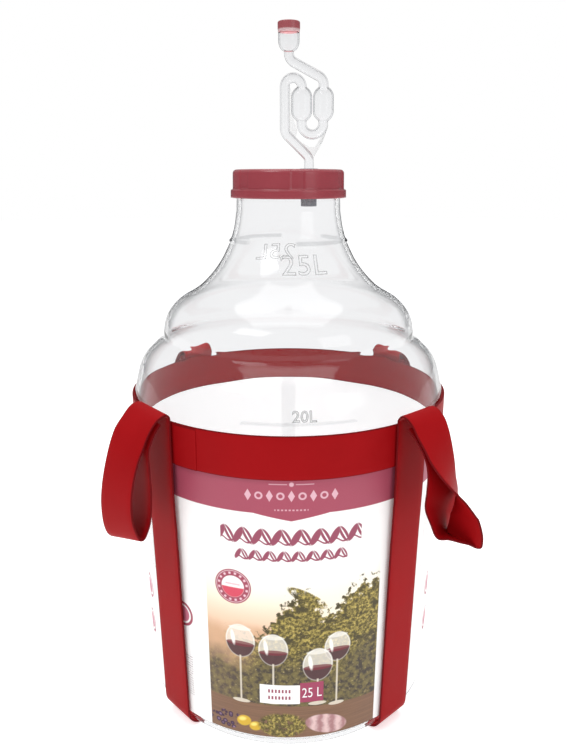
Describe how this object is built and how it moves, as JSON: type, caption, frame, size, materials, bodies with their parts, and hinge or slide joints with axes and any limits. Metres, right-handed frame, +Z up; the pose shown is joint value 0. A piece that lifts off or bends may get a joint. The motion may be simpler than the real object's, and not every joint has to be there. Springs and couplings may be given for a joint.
{
  "type": "glass carboy with carrying harness",
  "caption": "Wide-neck glass carboy with a screw cap, a bubbler airlock, a wrap label and a strap harness with hand loops for carrying and fermenting wine.",
  "frame": {"origin": "where the crossed straps stand on the floor, on the bottle's axis", "axes": "+Z up along the bottle's axis, -Y towards the front of the label"},
  "size_m": [0.324, 0.3283, 0.6439],
  "materials": {
    "bottle_glass": "clear, fire polished",
    "label_paper": "coated printed paper",
    "cap_plastic": "gloss moulded",
    "seal_foam": "soft matt",
    "grommet_rubber": "matt",
    "airlock_plastic": "clear moulded",
    "dust_cap_plastic": "satin moulded",
    "strap_plastic": "smooth flexible strap"
  },
  "bodies": {
    "harness": {"hoop_band": "strap_plastic", "strap_lower": "strap_plastic", "strap_upper": "strap_plastic"},
    "bottle": {"glass_bottle": "bottle_glass", "label": "label_paper"},
    "seal": {"cap_seal": "seal_foam"},
    "cap": {"screw_cap": "cap_plastic"},
    "grommet": {"grommet": "grommet_rubber"},
    "airlock": {"airlock": "airlock_plastic"},
    "dust_cap": {"airlock_dust_cap": "dust_cap_plastic"},
    "loop_front_left": {"loop_front_left": "strap_plastic"},
    "loop_front_right": {"loop_front_right": "strap_plastic"},
    "loop_rear_right": {"loop_rear_right": "strap_plastic"},
    "loop_rear_left": {"loop_rear_left": "strap_plastic"}
  },
  "joints": [
    {"name": "loop_front_left_swing", "type": "hinge", "parent": "harness", "child": "loop_front_left", "pos_m": [-0.11274, -0.10513, 0.3215], "axis": [-0.682, 0.7314, 0], "range_deg": [0, 115]},
    {"name": "loop_front_right_swing", "type": "hinge", "parent": "harness", "child": "loop_front_right", "pos_m": [0.10513, -0.11274, 0.3215], "axis": [-0.7314, -0.682, 0], "range_deg": [0, 115]},
    {"name": "loop_rear_right_swing", "type": "hinge", "parent": "harness", "child": "loop_rear_right", "pos_m": [0.11274, 0.10513, 0.3215], "axis": [0.682, -0.7314, 0], "range_deg": [0, 115]},
    {"name": "loop_rear_left_swing", "type": "hinge", "parent": "harness", "child": "loop_rear_left", "pos_m": [-0.10513, 0.11274, 0.3215], "axis": [0.7314, 0.682, 0], "range_deg": [0, 115]},
    {"name": "bottle_lift", "type": "slide", "parent": "harness", "child": "bottle", "axis": [0, 0, 1], "range_m": [0, 0.34]},
    {"name": "cap_lift", "type": "slide", "parent": "bottle", "child": "seal", "axis": [0, 0, 1], "range_m": [0, 0.0481]},
    {"name": "cap_turn", "type": "hinge", "parent": "seal", "child": "cap", "pos_m": [0, 0, 0.5191], "axis": [0, 0, 1], "range_deg": [0, 1440]},
    {"name": "airlock_turn", "type": "hinge", "parent": "cap", "child": "grommet", "pos_m": [0.019, 0, 0.5191], "axis": [0, 0, 1], "continuous": true},
    {"name": "airlock_pull", "type": "slide", "parent": "grommet", "child": "airlock", "axis": [0, 0, 1], "range_m": [0, 0.045]},
    {"name": "dust_cap_pull", "type": "slide", "parent": "airlock", "child": "dust_cap", "axis": [0, 0, 1], "range_m": [0, 0.02]}
  ],
  "couplings": [
    {"joint": "cap_lift", "follows": "cap_turn", "m_per_rad": 0.0019099}
  ]
}
